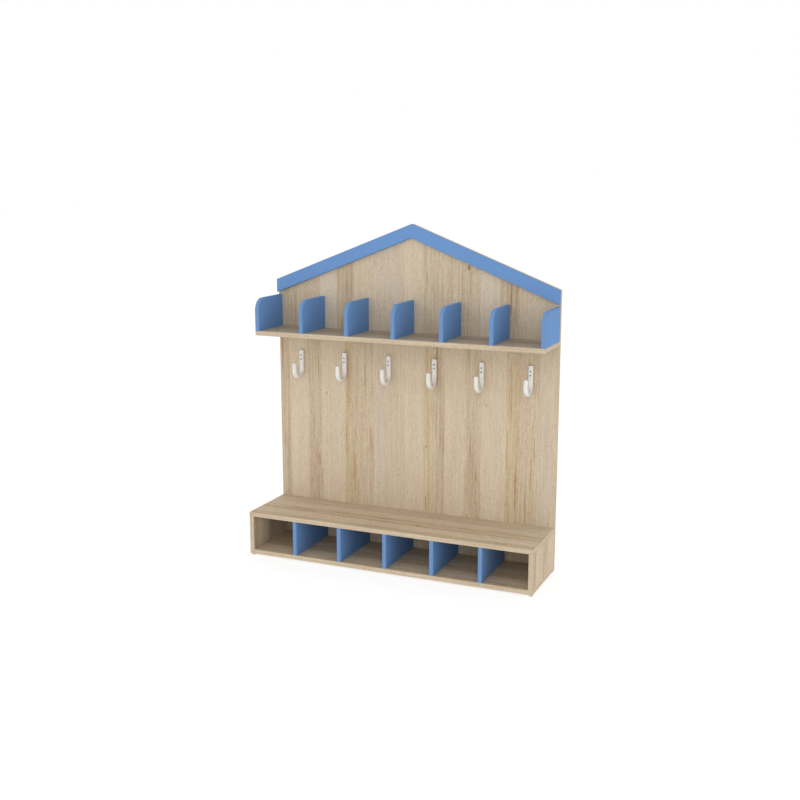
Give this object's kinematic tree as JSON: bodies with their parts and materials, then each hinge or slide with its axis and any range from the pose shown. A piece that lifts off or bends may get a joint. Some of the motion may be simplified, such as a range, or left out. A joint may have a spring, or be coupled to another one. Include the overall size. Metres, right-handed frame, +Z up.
{
  "type": "cloakroom bench",
  "caption": "Child's cloakroom bench: a gabled back panel with a divided hat shelf, a row of coat hooks and a low seat over open shoe cubbies",
  "frame": {"origin": "on the floor, in the middle of the width and of the whole depth", "axes": "+X to the right as one faces it, +Y towards the wall, +Z up"},
  "size_m": [1.2, 0.3, 1.3432],
  "materials": {
    "oak_board": "matt pale oak decor",
    "oak_band": "matt pale oak edge band",
    "blue_board": "matt mid-blue decor",
    "blue_band": "matt mid-blue edge band",
    "hook_plastic": "satin off-white moulding",
    "steel": "zinc plated",
    "dowel_wood": "plain beech",
    "glide_plastic": "matt pale moulding"
  },
  "bodies": {
    "root": {"back_panel": "oak_board", "shelf": "oak_board", "bench_seat": "oak_board", "bench_base": "oak_board", "bench_side_left": "oak_board", "bench_side_right": "oak_board", "back_panel_band": "oak_band", "shelf_band": "oak_band", "bench_seat_band": "oak_band", "bench_base_band": "oak_band", "bench_side_left_band": "oak_band", "bench_side_right_band": "oak_band", "roof_strip_left": "blue_board", "roof_strip_right": "blue_board", "roof_strip_left_band": "blue_band", "roof_strip_right_band": "blue_band", "shelf_divider_1": "blue_board", "shelf_divider_band_1": "blue_band", "shelf_divider_2": "blue_board", "shelf_divider_band_2": "blue_band", "shelf_divider_3": "blue_board", "shelf_divider_band_3": "blue_band", "shelf_divider_4": "blue_board", "shelf_divider_band_4": "blue_band", "shelf_divider_5": "blue_board", "shelf_divider_band_5": "blue_band", "shelf_divider_6": "blue_board", "shelf_divider_band_6": "blue_band", "shelf_divider_7": "blue_board", "shelf_divider_band_7": "blue_band", "bench_divider_1": "blue_board", "bench_divider_band_1": "blue_band", "bench_divider_2": "blue_board", "bench_divider_band_2": "blue_band", "bench_divider_3": "blue_board", "bench_divider_band_3": "blue_band", "bench_divider_4": "blue_board", "bench_divider_band_4": "blue_band", "bench_divider_5": "blue_board", "bench_divider_band_5": "blue_band", "coat_hook_1": "hook_plastic", "coat_hook_2": "hook_plastic", "coat_hook_3": "hook_plastic", "coat_hook_4": "hook_plastic", "coat_hook_5": "hook_plastic", "coat_hook_6": "hook_plastic", "hook_screws": "steel", "base_screws": "steel", "panel_screws": "steel", "shelf_divider_screws": "steel", "roof_strip_screws": "steel", "seat_dowels": "dowel_wood", "glides": "glide_plastic"}
  },
  "joints": []
}
